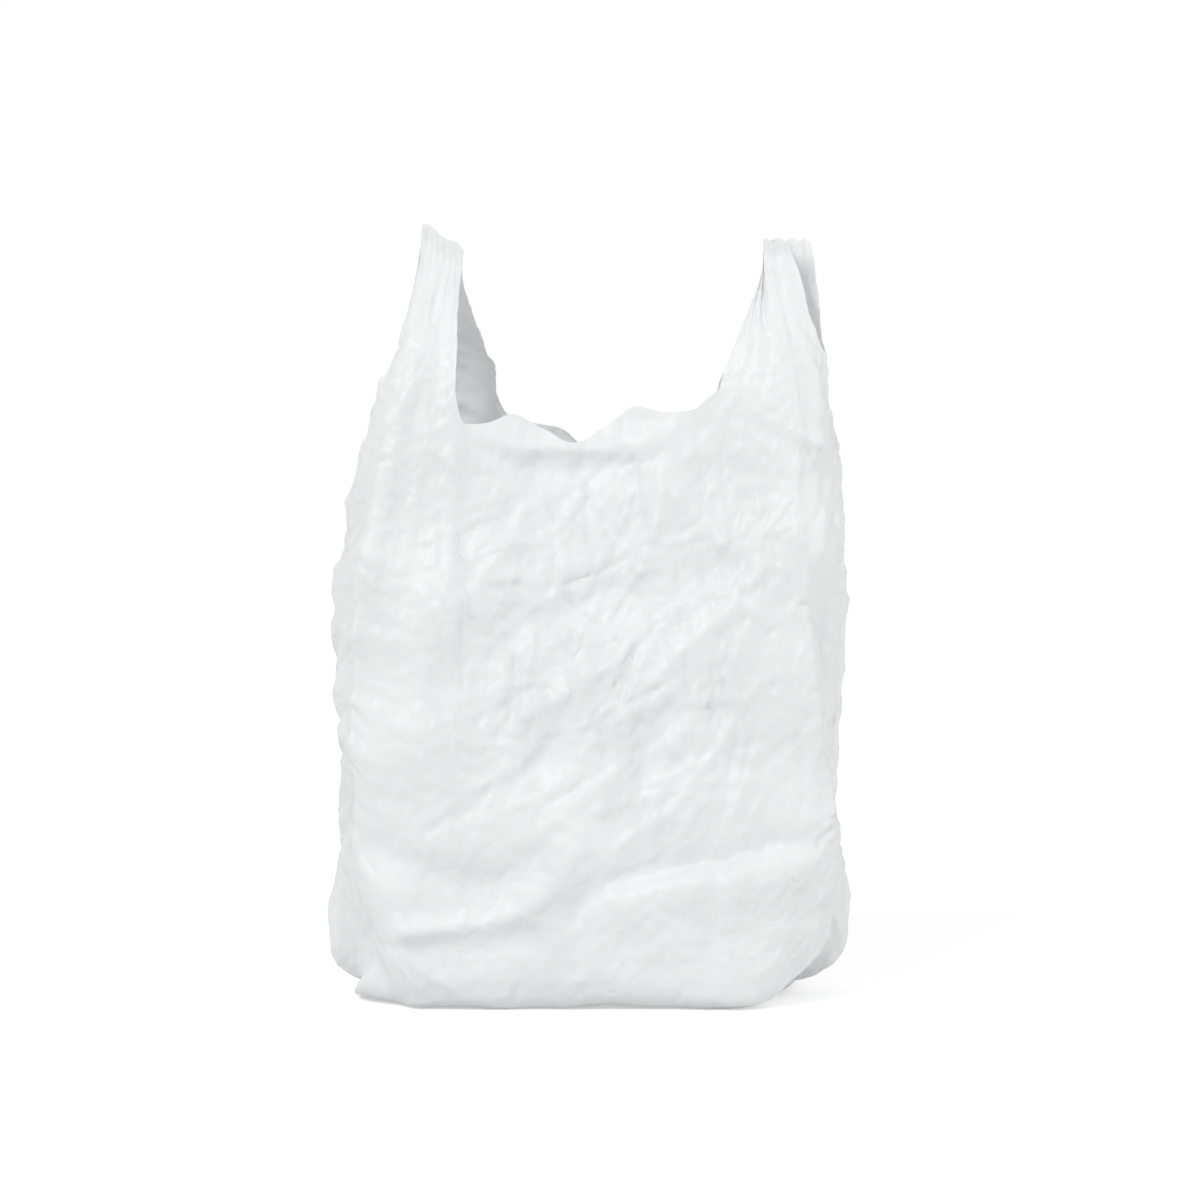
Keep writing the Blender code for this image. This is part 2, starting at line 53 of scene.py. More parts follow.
# The film, as in the CAD: flat sizes of the bag, and where its corners and pleats stand
MOUTH_WIDTH = 0.160
STRAP_WIDTH = 0.070
NOTCH_WIDTH = 0.030
MOUTH_HEIGHT = 0.360
FLOOR_REACH = 0.062
PLEAT_FLOOR = 0.058
NOTCH_RISE = 0.008
CUT_CORNER = 0.018
TIGHT_CORNER = 0.004
BASE_WELD_LENGTH = 0.292
BASE_WELD_HEIGHT = 0.004
FLAT_CORE = {LEFT: 0.76, RIGHT: 0.62}
FACE_WIDTH = MOUTH_WIDTH + 2 * STRAP_WIDTH
PLEAT_WIDTH = NOTCH_WIDTH + 2 * STRAP_WIDTH
HALF_FACE = FACE_WIDTH / 2
HALF_MOUTH = MOUTH_WIDTH / 2
HALF_PLEAT = PLEAT_WIDTH / 2
FILM_RUN = FLOOR_REACH + MOUTH_HEIGHT
ROUND = 2 * (FACE_WIDTH + PLEAT_WIDTH)
SHOULDER = MOUTH_HEIGHT + CUT_CORNER

# The standing bag, each as a curve over the rise: 0 at the base weld, 1 at the mouth's level. Insets say
# how far each corner stands in from the flat bag's width, and bulges how far each pleat stands out of it.
# A bulge starts where the pleat's tuck over the base ends
INSETS = {
    (LEFT, FRONT): (
        (0, 0.004), (0.05, 0.005), (0.1, 0.011), (0.15, 0.022), (0.25, 0.011), (0.33, 0.006), (0.7, 0.010),
        (0.9, 0.021), (1.05, 0.031),
    ),
    (RIGHT, FRONT): (
        (0, 0.024), (0.05, 0.014), (0.1, 0.002), (0.17, -0.003), (0.3, -0.003), (0.52, 0.009), (0.75, 0.018),
        (1.05, 0.020),
    ),
    (LEFT, BACK): ((0, 0.004), (0.1, 0.010), (0.3, 0.004), (0.6, 0.006), (0.85, 0.014), (1.05, 0.030)),
    (RIGHT, BACK): (
        (0, 0.024), (0.05, 0.016), (0.1, 0.008), (0.3, 0.001), (0.6, 0.008), (0.85, 0.014), (1.05, 0.021),
    ),
}
BULGES = {
    LEFT: ((0.28, 0.0110), (0.42, -0.008), (0.62, 0.0035), (0.8, 0.002), (0.93, -0.010), (1.05, -0.027)),
    RIGHT: ((0.26, 0.0145), (0.4, 0.007), (0.7, 0.0115), (0.88, 0.0075), (1.05, 0.002)),
}
# How far the corners stand from the middle plane, and how high
CORNER_DEPTH = (
    (0, 0.0), (0.05, 0.020), (0.1, 0.038), (0.15, 0.050), (0.25, 0.062), (0.5, 0.070), (0.75, 0.066),
    (0.9, 0.060), (1.05, 0.050),
)
LOW_CORNER = (
    (0, 0.0), (0.05, 0.004), (0.1, 0.014), (0.15, 0.034), (0.25, 0.078), (0.4, 0.138), (1, 0.360),
    (1.05, 0.378),
)
HIGH_CORNER = ((0, 0.0), (0.1, 0.036), (1, 0.360), (1.05, 0.378))
CORNER_HEIGHT = {
    (LEFT, FRONT): LOW_CORNER,
    (RIGHT, FRONT): HIGH_CORNER,
    (LEFT, BACK): LOW_CORNER,
    (RIGHT, BACK): LOW_CORNER,
}
# How far the middle of each face stands out past the base, over the share of the mouth's height
BELLIES = {
    FRONT: ((0, 0), (0.02, 0.006), (0.07, 0.012), (0.2, 0.016), (0.45, 0.013), (0.75, 0.002), (1, -0.012)),
    BACK: ((0, 0), (0.02, 0.006), (0.07, 0.012), (0.2, 0.016), (0.45, 0.015), (0.75, 0.007), (1, -0.006)),
}
# The tucked pleat over the base: share of its length, of its way outwards and of its way upwards
TUCKS = {
    LEFT: ((0, 0.0, 0.0), (0.2, 0.42, 0.02), (0.45, 0.82, 0.13), (0.75, 0.97, 0.40), (1, 1.0, 1.0)),
    RIGHT: ((0, 0.0, 0.0), (0.45, 0.62, 0.10), (0.75, 0.92, 0.36), (1, 1.0, 1.0)),
}
# The mouth's cut edge: place across the face, and height over the mouth's level
FRONT_CUT = (
    (-0.080, 0.0), (-0.058, 0.001), (-0.046, 0.0055), (-0.034, 0.002), (-0.022, -0.003), (-0.008, -0.009),
    (0.008, -0.003), (0.023, 0.005), (0.032, 0.0095), (0.042, 0.007), (0.054, 0.006), (0.064, 0.007),
    (0.080, 0.008),
)
BACK_CUT = (
    (-0.080, 0.004), (-0.050, 0.000), (-0.030, -0.003), (-0.009, -0.014), (0.015, -0.004), (0.035, 0.002),
    (0.060, 0.001), (0.080, -0.002),
)
# How far the back's left cut edge stands inwards from the front's
BACK_LEFT_SHIFT = 0.022
# Half the distance between the two plies of a face and its pleat in the base weld
PLY = 0.0004
# How deep the faces sink in between the straps, the rim's roll, the folds drawn down from the back's
# straps, the bow above its base, and the swell of the pleats' halves
FRONT_SINK, BACK_SINK = 0.016, 0.014
RIM_ROLL = 0.0025
BACK_DRAW = 0.006
BACK_BOW = 0.007
PLEAT_SWELL = 0.006
# The folds along a gathered handle, and the two kinds of unevenness of its top edge
GATHER_HEIGHT = 0.0030
RAGGED_HEIGHT = 0.0022
TOOTH_HEIGHT = 0.0012

# Straps from the shoulder up, in millimetres: height, then x and y of the corner fold, of the face's cut
# edge and of the pleat's cut edge
STRAPS = {
    (LEFT, FRONT): (
        (390, -115, -48, -79, -46, -120, -20),
        (410, -111, -40, -79, -40, -114, -14),
        (438, -107, -23, -79, -24, -110, -8),
        (460, -104, -9, -78, -10, -106, -3),
        (482, -102, -2, -76, -2, -102, 0),
    ),
    (LEFT, BACK): (
        (390, -115, 47, -60, 45, -120, 22),
        (410, -111, 37, -64, 37, -114, 17),
        (438, -108, 21, -73, 22, -110, 11),
        (460, -104, 11, -77, 12, -106, 8),
        (482, -102, 4, -77, 4, -102, 3),
    ),
    (RIGHT, FRONT): (
        (390, 126, -48, 86, -45, 152, -13),
        (410, 121, -40, 93, -37, 147, -10),
        (430, 115, -29, 101, -26, 140, -9),
        (455, 112, -14, 110, -12, 134, -7),
        (476, 112, -4, 112, -4, 127, -4),
    ),
    (RIGHT, BACK): (
        (390, 131, 45, 90, 42, 151, 18),
        (410, 131, 35, 98, 33, 149, 14),
        (430, 131, 25, 106, 24, 148, 12),
        (455, 131, 13, 112, 13, 145, 8),
        (476, 130, 4, 113, 4, 141, 3),
    ),
}
# What is added to a handle's height at its cut edges and at its corner fold
TOP_SLANT = {LEFT: (-0.012, 0.005), RIGHT: (0.0, 0.0)}

# Length of film in a strap, from the shoulder to the handle weld
STRAP_RUN = 0.115
# How far the film stands off the floor
FLOOR_GAP = 0.0003

# How fine the film is before it is smoothed once
BODY_ROWS = 104
STRAP_ROWS = 30
FRONT_STRAP_SPANS, FRONT_MOUTH_SPANS = 20, 44
OTHER_STRAP_SPANS, BACK_MOUTH_SPANS, NOTCH_SPANS = 10, 22, 4

# The uneven start from which the film buckles, and how far it may grow and move
SEED_HEIGHT = 1.3 * MM
BILLOW_HEIGHT = 5.5 * MM
BILLOWS_PER_METRE = 17
FILM_GROWTH = 0.026
MOST_MOVE = 0.010
RELAX_FRAMES = 22
HOLD_LEVELS = 40

# Folds over the whole film: their count, the seed, then the ranges of length and width in millimetres and
# of slope
LONG_CREASES = (1300, 11, (18, 75), (6, 20), (0.10, 0.31))
SHORT_CREASES = (2600, 12, (8, 38), (2.4, 6), (0.17, 0.47))
# Where on the flat film their middles lie, and in the middle of a face their slant and its spread in radians
CREASE_HEIGHTS = (62, 560)
CREASE_SLANT, SLANT_SPREAD = 1.05, 0.55
UPRIGHT_SPREAD = 0.22
# The share that lie any way, how much steeper their steep side is, and how crumpled the other sides are
ANY_WAY_SHARE = 0.25
STEEP_SIDE = 2.6
OTHER_SIDES = 0.55

# The film's look: its sheen, the share of light through it, its two tints, and its crackles, each with the
# pattern's scale, its detail and its height
FILM_ROUGHNESS = 0.46
LIGHT_THROUGH = 0.10
DARKER_TINT, PALER_TINT = (0.845, 0.850, 0.855, 1), (0.905, 0.910, 0.915, 1)
CRACKLES = ((34, 5, 0.0030), (130, 4, 0.0012))

# The studio
FLOOR_SIZE = 12.0
WORLD_STRENGTH = 0.59
KEY_STRENGTH, KEY_SPREAD, KEY_DIRECTION = 1.19, 16, (0.54, 0.90, -0.80)
FILL_STRENGTH, FILL_SPREAD, FILL_DIRECTION = 0.82, 60, (-0.94, 0.12, -0.26)
CAMERA_PLACE = (0.0075, -2.2, 0.365)
LENS = 104.7
LOOK_DOWN = 3


def ramp(low, high, value):
    """0 below low, 1 above high, and a smooth rise between."""
    share = min(1.0, max(0.0, (value - low) / (high - low)))
    return share * share * (3 - 2 * share)


def hill(value, centre, width):
    """A smooth hill of height 1 at the centre."""
    return math.exp(-(((value - centre) / width) ** 2))


def along(stations, where, column=1):
    """A smooth curve through the stations, read at one place."""
    last = len(stations) - 1
    if where <= stations[0][0]:
        return stations[0][column]
    if where >= stations[last][0]:
        return stations[last][column]
    i = next(k for k in range(last) if where <= stations[k + 1][0])
    before, after = max(i - 1, 0), min(i + 2, last)
    low, high = stations[i][column], stations[i + 1][column]
    span = stations[i + 1][0] - stations[i][0]
    t = (where - stations[i][0]) / span
    rise_low = span * (high - stations[before][column]) / (stations[i + 1][0] - stations[before][0])
    rise_high = span * (stations[after][column] - low) / (stations[after][0] - stations[i][0])
    ease = t * t * (3 - 2 * t)
    return low + (high - low) * ease + rise_low * t * (1 - t) ** 2 - rise_high * t * t * (1 - t)


def floor_height(from_weld):
    """Height of the film on the floor, which is lifted to the middle of the base weld next to it."""
    return FLOOR_GAP + BASE_WELD_HEIGHT / 2 * (1 - ramp(0.0, 3 * BASE_WELD_HEIGHT, from_weld))


def corner_line(side, face, rise):
    """The fold between a face and a pleat."""
    x = side * (HALF_FACE - along(INSETS[side, face], rise))
    y = face * (2 * PLY + along(CORNER_DEPTH, rise))
    return Vector((x, y, max(floor_height(0), along(CORNER_HEIGHT[side, face], rise))))


def middle_line(face, rise):
    """The middle of a face: out along the floor from the base weld, then up."""
    run = rise * FILM_RUN
    if run < FLOOR_REACH:
        return Vector((0, face * max(3 * PLY, run), floor_height(run)))
    z = run - FLOOR_REACH
    return Vector((0, face * (FLOOR_REACH + along(BELLIES[face], z / MOUTH_HEIGHT)), z + FLOOR_GAP))


def pleat_line(side, rise):
    """The middle of a pleat: out over the base from deep in the bag, then up the side."""
    bulge = BULGES[side]
    tuck_end, end_bulge = bulge[0]
    start_x = BASE_WELD_LENGTH / 2 - HALF_PLEAT
    start_z = floor_height(0)
    if rise < tuck_end:
        share = rise / tuck_end
        x = start_x + (HALF_FACE + end_bulge - start_x) * along(TUCKS[side], share, 1)
        z = start_z + (PLEAT_FLOOR - start_z) * along(TUCKS[side], share, 2)
        return Vector((side * x, 0, z))
    x = HALF_FACE + along(bulge, rise)
    z = PLEAT_FLOOR + (MOUTH_HEIGHT - PLEAT_FLOOR) * (rise - tuck_end) / (1 - tuck_end)
    return Vector((side * x, 0, z))


def cut_rise(face, x):
    """Height of the mouth's cut edge over its own level. It turns up to the straps in a round corner, which
    is tight at the front's left one."""
    level = along(FRONT_CUT if face == FRONT else BACK_CUT, x)
    radius = TIGHT_CORNER if face == FRONT and x < 0 else CUT_CORNER
    into_corner = min(max(0.0, abs(x) - (HALF_MOUTH - radius)), radius)
    return level + CUT_CORNER / radius * (radius - math.sqrt(radius**2 - into_corner**2))


def front_sink(x, z):
    """How far the middle of the front is sunk between the straps, as in the CAD."""
    up, across = z / MOUTH_HEIGHT, x / HALF_FACE
    sunk = -FRONT_SINK * ramp(0.35, 0.95, up) * hill(across, 0.02, 0.42)
    roll = RIM_ROLL * (hill(up, 0.965, 0.02) - hill(up, 0.915, 0.025)) * hill(across, 0, 0.55)
    return sunk + roll


def back_sink(x, z):
    """The same for the back, with a fold drawn down from each strap and a bow above the base."""
    up, across = z / MOUTH_HEIGHT, x / HALF_FACE
    sunk = -BACK_SINK * ramp(0.4, 1.0, up) * hill(across, 0, 0.45)
    drawn = BACK_DRAW * ramp(0.35, 0.6, up) * (hill(across, -0.5, 0.1) + hill(across, 0.45, 0.1))
    bow = BACK_BOW * hill(up, 0.2 + 0.08 * across, 0.05) * hill(across, 0.2, 0.4)
    return sunk + drawn + bow


SINKS = {FRONT: front_sink, BACK: back_sink}


def face_point(face, film, rise):
    """A place on the front or the back. film runs from the left corner to the right one."""
    left, right = corner_line(LEFT, face, rise), corner_line(RIGHT, face, rise)
    edge = -HALF_MOUTH + (BACK_LEFT_SHIFT * ramp(0.45, 1.0, rise) if face == BACK else 0)
    if film < STRAP_WIDTH:
        x = left.x + (edge - left.x) * film / STRAP_WIDTH
    elif film > FACE_WIDTH - STRAP_WIDTH:
        x = right.x + (HALF_MOUTH - right.x) * (FACE_WIDTH - film) / STRAP_WIDTH
    else:
        x = edge + (HALF_MOUTH - edge) * (film - STRAP_WIDTH) / MOUTH_WIDTH
    share = film / FACE_WIDTH
    flat = FLAT_CORE[LEFT if share < 0.5 else RIGHT]
    rim = max(0.0, (abs(2 * share - 1) - flat) / (1 - flat))
    core = 1 - rim * rim
    side = left.lerp(right, share)
    middle = middle_line(face, rise)
    y = side.y + (middle.y - side.y) * core
    z = side.z + (middle.z - side.z) * core
    from_corner = 1 - abs(2 * share - 1)
    relief = SINKS[face](x, z) * ramp(0.02, 0.10, z) * ramp(0.0, 0.12, from_corner)
    return Vector((x, y + face * relief, z))


def pleat_point(side, film, rise):
    """A place on a side pleat. film runs from the front corner to the back one."""
    share = film / HALF_PLEAT
    face = FRONT if share < 1 else BACK
    inward = share if share < 1 else 2 - share
    place = corner_line(side, face, rise).lerp(pleat_line(side, rise), inward)
    in_weld = 1 - ramp(0, 0.05, rise)
    ply_y = face * PLY * min(1.0, 8 * (1 - inward))
    place.y += (ply_y - place.y) * in_weld
    place.x += side * PLEAT_SWELL * math.sin(math.pi * inward) * ramp(0.3, 0.6, rise)
    return place


class Column:
    """One line of film from the base weld to the cut edge. In a strap it goes on to the handle weld."""

    def __init__(self, side, face, film, on_pleat):
        """film is the place across the face or pleat, and across is 0 at the corner fold and 1 at a cut."""
        self.side, self.face, self.film, self.on_pleat = side, face, film, on_pleat
        from_corner = min(film, (PLEAT_WIDTH if on_pleat else FACE_WIDTH) - film)
        self.across = from_corner / STRAP_WIDTH
        self.in_strap = self.across < 1.001
        if self.in_strap:
            self.top = SHOULDER
        elif on_pleat:
            self.top = MOUTH_HEIGHT + NOTCH_RISE
        else:
            self.top = MOUTH_HEIGHT + cut_rise(face, film - HALF_FACE)

    def body_point(self, share):
        """A place on the body, at a share of the way from the base weld to the column's top."""
        rise = share * self.top / MOUTH_HEIGHT
        if self.on_pleat:
            return pleat_point(self.side, self.film, rise)
        return face_point(self.face, self.film, rise)

    def strap_table(self):
        """The strap's stations from its foot up, and the columns with its cut edge."""
        low = []
        on_pleat = STRAP_WIDTH if self.face == FRONT else PLEAT_WIDTH - STRAP_WIDTH
        on_face = STRAP_WIDTH if self.side == LEFT else FACE_WIDTH - STRAP_WIDTH
        for height in (SHOULDER - 0.012, SHOULDER):
            rise = height / MOUTH_HEIGHT
            fold = corner_line(self.side, self.face, rise)
            if self.on_pleat:
                edge = pleat_point(self.side, on_pleat, rise)
            else:
                edge = face_point(self.face, on_face, rise)
            low.append([v / MM for v in (height, fold.x, fold.y, edge.x, edge.y, edge.x, edge.y)])
        return low + list(STRAPS[self.side, self.face]), (5, 6) if self.on_pleat else (3, 4)

    def strap_points(self):
        """The places on the strap above its foot, up to its ragged top edge."""
        foot = self.body_point(1.0)
        table, edge_columns = self.strap_table()
        base = table[1]
        flat_x = base[1] + (base[3] - base[1]) * self.across
        flat_y = base[2] + (base[4] - base[2]) * self.across
        left_over = np.array((foot.x / MM - flat_x, foot.y / MM - flat_y))
        at_edge, at_fold = TOP_SLANT[self.side]
        top = table[-1][0] * MM + at_edge * self.across + at_fold * (1 - self.across)
        ragged = noise.noise(Vector((9 * self.across, 3.0 * self.side, 2.0 * self.face)))
        top += RAGGED_HEIGHT * ragged + TOOTH_HEIGHT * math.sin(11 * self.across + self.side)
        made = []
        for row in range(1, STRAP_ROWS + 1):
            share = row / STRAP_ROWS
            where = SHOULDER / MM + (table[-1][0] - SHOULDER / MM) * share
            fold = np.array([along(table, where, 1), along(table, where, 2)])
            edge = np.array([along(table, where, c) for c in edge_columns])
            x, y = fold + (edge - fold) * self.across + left_over * (1 - ramp(0.0, 0.7, share))
            y = y * MM + GATHER_HEIGHT * ramp(0.0, 0.9, share) * self.gather_wave(share)
            y += (self.weld_place(x) - y) * ramp(0.70, 0.93, share)
            made.append(Vector((x * MM, y, foot.z + (top - foot.z) * share)))
        return made

    def weld_place(self, x):
        """Where this ply lies in the handle weld, whose four plies are pressed together in small folds."""
        ply = self.face * (0.0003 if self.on_pleat else 0.0009)
        fold = 0.0016 * noise.noise(Vector((0.30 * x, 7.0 * self.side, 0))) + 0.0007 * math.sin(1.7 * x)
        return ply + fold - 0.0005

    def gather_wave(self, share):
        """The folds that run down a gathered strap, which both of its plies share."""
        sway = 0.25 * math.sin(5 * share)
        where = Vector((5.5 * self.across + sway, 0.9 * share, 4.0 * self.side + self.face))
        broad = noise.noise(where) * 2.0
        sharp = abs(noise.noise(where * 2.1 + Vector((3, 1, 8)))) * 2.2 - 0.6
        return broad + sharp


def lines(width, strap_spans, cut_spans):
    """Where the columns stand across a face or a pleat, without its far corner."""
    low, high = STRAP_WIDTH, width - STRAP_WIDTH
    strap = [STRAP_WIDTH * k / strap_spans for k in range(strap_spans)]
    cut = [low + (high - low) * k / cut_spans for k in range(cut_spans)]
    return strap + cut + [high + f for f in strap]


def tube_columns():
    """All columns once round the tube: front, right pleat, back, left pleat."""
    on_front = lines(FACE_WIDTH, FRONT_STRAP_SPANS, FRONT_MOUTH_SPANS)
    on_back = lines(FACE_WIDTH, OTHER_STRAP_SPANS, BACK_MOUTH_SPANS)
    on_pleat = lines(PLEAT_WIDTH, OTHER_STRAP_SPANS, NOTCH_SPANS)
    columns = [Column(LEFT if f < HALF_FACE else RIGHT, FRONT, f, False) for f in on_front]
    columns += [Column(RIGHT, FRONT if f < HALF_PLEAT else BACK, f, True) for f in on_pleat]
    columns += [Column(RIGHT if f < HALF_FACE else LEFT, BACK, FACE_WIDTH - f, False) for f in on_back]
    columns += [Column(LEFT, BACK if f < HALF_PLEAT else FRONT, PLEAT_WIDTH - f, True) for f in on_pleat]
    return columns


def soften(points, joint, reach=9, times=40):
    """Rounds a column where its strap starts to lean inwards from the body."""
    run = np.array(points[joint - reach:joint + reach + 1], float)
    for _ in range(times):
        run[1:-1, :2] = 0.5 * run[1:-1, :2] + 0.25 * (run[:-2, :2] + run[2:, :2])
    for k, place in enumerate(run):
        points[joint - reach + k] = Vector(place)


def film_grid():
    """Points and quads of the film's surface, and where each point is on the flat film: how far round the
    tube, how far from the base weld, and its share of a strap's height."""
    columns = tube_columns()
    points, places, body, straps = [], [], [], []
    for column in columns:
        if not column.on_pleat:
            around = column.film if column.face == FRONT else 2 * FACE_WIDTH + PLEAT_WIDTH - column.film
        else:
            around = FACE_WIDTH + column.film if column.side == RIGHT else ROUND - column.film
        start = len(points)
        points += [column.body_point(row / BODY_ROWS) for row in range(BODY_ROWS + 1)]
        up = column.top + FLOOR_REACH
        places += [(around, up * row / BODY_ROWS, 0.0) for row in range(BODY_ROWS + 1)]
        body.append(list(range(start, len(points))))
        strap = None
        if column.in_strap:
            start = len(points)
            points += column.strap_points()
            rows = range(1, STRAP_ROWS + 1)
            places += [(around, up + STRAP_RUN * row / STRAP_ROWS, row / STRAP_ROWS) for row in rows]
            strap = [body[-1][-1]] + list(range(start, len(points)))
            soften(points, strap[0])
        straps.append(strap)
    quads = []
    for i in range(len(columns)):
        j = (i + 1) % len(columns)
        pairs = [(body[i], body[j])]
        if straps[i] and straps[j]:
            pairs.append((straps[i], straps[j]))
        for here, there in pairs:
            quads += [(here[k], there[k], there[k + 1], here[k + 1]) for k in range(len(here) - 1)]
    return np.array(points, float), np.array(places), quads


def make_object(name, points, faces):
    """A mesh object in the scene."""
    data = bpy.data.meshes.new(name)
    data.from_pydata([tuple(p) for p in points], [], [tuple(f) for f in faces])
    data.update()
    made = bpy.data.objects.new(name, data)
    bpy.context.scene.collection.objects.link(made)
    return made


def beside(x, z, line):
    """Distance from a line, positive on its right-hand side, and how far along it the nearest point is."""
    line = np.array(line, float)
    lengths = np.linalg.norm(np.diff(line, axis=0), axis=1)
    nearest, signed, share = np.full(x.shape, 1e9), np.zeros(x.shape), np.zeros(x.shape)
    run = 0.0
    for a, b, length in zip(line[:-1], line[1:], lengths):
        way = (b - a) / length
        t = np.clip((x - a[0]) * way[0] + (z - a[1]) * way[1], 0, length)
        distance = np.hypot(x - a[0] - t * way[0], z - a[1] - t * way[1])
        closer = distance < nearest
        side = np.sign(way[1] * (x - a[0]) - way[0] * (z - a[1]))
        signed = np.where(closer, side * distance, signed)
        share = np.where(closer, (run + t) / lengths.sum(), share)
        nearest = np.minimum(nearest, distance)
        run += length
    return signed, share


def fade_ends(share, ends=0.15):
    """1 along a line, falling smoothly to 0 over a share of it at each end."""
    low = np.clip(share / ends, 0, 1)
    high = np.clip((1 - share) / ends, 0, 1)
    return low * low * (3 - 2 * low) * high * high * (3 - 2 * high)


def ledge(x, z, line, height, soft, hard, ends=0.15):
    """A fold that falls off softly to the left of its line and steeply to the right."""
    signed, share = beside(x, z, line)
    fall = np.where(signed < 0, np.exp(-((signed / soft) ** 2)), np.exp(-((signed / hard) ** 2)))
    return height * fall * fade_ends(share, ends)


def ridge(x, z, line, height, width, end_width=None):
    """A rounded fold along a line."""
    signed, share = beside(x, z, line)
    wide = width + ((end_width or width) - width) * share
    return height * np.exp(-((signed / wide) ** 2))


def lifted(line, by):
    """The same line, higher up."""
    return tuple((x, z + by) for x, z in line)


# The front's large folds, in millimetres across and up. A ledge has its line, its height, its soft and its
# steep width and the share of the line over which it fades at each end. A ridge has its line, its height
# and its width at each end, and is a groove where its height is negative
SWAG = ((-80, 360), (-40, 346), (-5, 341), (35, 349), (66, 363))
SHELF = ((152, 95), (118, 93), (84, 85), (43, 78), (15, 70), (-8, 52))
UNDER_LEFT_STRAP = ((-85, 185), (-83, 258), (-81, 307), (-79, 360), (-79, 420))
ALONG_LEFT_CORNER = ((-138, 245), (-133, 277), (-116, 360), (-104, 408), (-95, 453))
DRAWN_FROM_RIGHT_STRAP = ((62, 372), (46, 327), (33, 279), (15, 238), (2, 207), (-5, 172), (-12, 120))
SLANTING = ((-8, 104), (26, 166), (43, 197), (60, 228), (98, 258))
FRONT_LEDGES = (
    (UNDER_LEFT_STRAP, 5.6, 26, 4, 0.2),
    (ALONG_LEFT_CORNER, 4.2, 13, 6, 0.2),
    (DRAWN_FROM_RIGHT_STRAP, 5.0, 20, 6, 0.2),
    (SLANTING, 3.6, 18, 8, 0.15),
    (((-40, 262), (-20, 268), (12, 277), (33, 285)), 2.4, 10, 3, 0.25),
    (((-12, 300), (-2, 322), (4, 338)), 1.8, 8, 3, 0.3),
    (SWAG, 3.6, 9, 9, 0.08),
    (SHELF, 6.0, 26, 6, 0.2),
)
FRONT_RIDGES = (
    (((-112, 250), (-100, 300), (-95, 360), (-90, 420)), -1.8, 7, 4),
    (lifted(SWAG, -9), -2.6, 7, 7),
    (((-3, 106), (-11, 97), (-20, 81), (-39, 63), (-63, 55), (-110, 50)), 5.5, 12, 7),
    (((-135, 104), (-100, 88), (-54, 80), (-34, 94)), -4.2, 12, 12),
    (((-112, 38), (-70, 40), (-35, 46)), -2.6, 10, 10),
    (lifted(SHELF, 11), -3.0, 9, 9),
)
# Small folds that meet where the film is pinched, with a hollow beside them, and those that meet at the ear
PINCH = (97, 256)
PINCH_FOLDS = ((60, 262), (66, 284), (82, 298), (72, 238), (110, 232), (112, 280))
HOLLOW, HOLLOW_SIZE, HOLLOW_DEPTH = (82, 273), (15, 10), 4.5
EAR = (-124, 40)
EAR_FOLDS = (((-152, 37), 2.2), ((-147, 9), 3.0), ((-117, 3), 3.0), ((-99, 4), 2.2), ((-80, 8), 1.8))


def front_folds(x, z):
    """How far the large folds of the front stand out, in millimetres at millimetres across and up."""
    out = sum(ledge(x, z, *fold) for fold in FRONT_LEDGES)
    out += sum(ridge(x, z, *fold) for fold in FRONT_RIDGES)
    out += sum(ledge(x, z, (PINCH, end), 2.8, 7, 2, 0.25) for end in PINCH_FOLDS)
    out += sum(ledge(x, z, (EAR, end), height, 6, 2, 0.25) for end, height in EAR_FOLDS)
    from_hollow = np.hypot((x - HOLLOW[0]) / HOLLOW_SIZE[0], (z - HOLLOW[1]) / HOLLOW_SIZE[1])
    return out - HOLLOW_DEPTH * np.exp(-(from_hollow ** 2))


def back_folds(x, z):
    """The same for the back: one fold, seen from inside through the left handle."""
    return ledge(x, z, ((-58, 366), (-66, 400), (-72, 432), (-76, 465)), 5.0, 3, 10, 0.1)


def centre_on_bag(points):
    """Moves the film to where the CAD bag stands."""
    shift = (np.array(bag_low) + np.array(bag_high)) / 2 - (points.min(0) + points.max(0)) / 2
    shift[2] = 0
    points += shift


def press_folds(points, places):
    """Puts the large folds on the front and the back. They end at the corners, the floor and the straps."""
    x, z = points[:, 0] / MM, points[:, 2] / MM
    in_body = 1 - places[:, 2]
    from_corner = np.minimum(places[:, 0], FACE_WIDTH - places[:, 0]) / MM
    off_corner = np.clip(from_corner / np.where(points[:, 2] < 0.06, 4, 14), 0, 1)
    off_floor = np.clip((z - 1) / 12, 0, 1)
    outwards = front_folds(x, z) * off_corner * off_floor * MM
    inwards = back_folds(x, z) * MM
    on_front = places[:, 0] <= FACE_WIDTH
    on_back = np.abs(places[:, 0] - 1.5 * FACE_WIDTH - PLEAT_WIDTH) <= HALF_FACE
    points[:, 1] -= np.where(on_front, outwards * in_body, 0)
    points[:, 1] -= np.where(on_back, inwards * in_body, 0)


def lift_front_edge(points, places):
    """Lifts the front's lower edge, which touches the floor only here and there."""
    lift = 1.6 + 1.3 * np.sin(points[:, 0] / 0.019 + 0.6) + 0.7 * np.sin(points[:, 0] / 0.0072)
    lift *= np.clip(1 - np.abs(points[:, 0]) / 0.14, 0, 1) ** 0.5
    away = np.clip(1 - points[:, 2] / 0.025, 0, 1) * np.clip((places[:, 1] - 0.040) / 0.022, 0, 1)
    points[:, 2] += np.where(places[:, 0] <= FACE_WIDTH, lift * away * MM, 0)


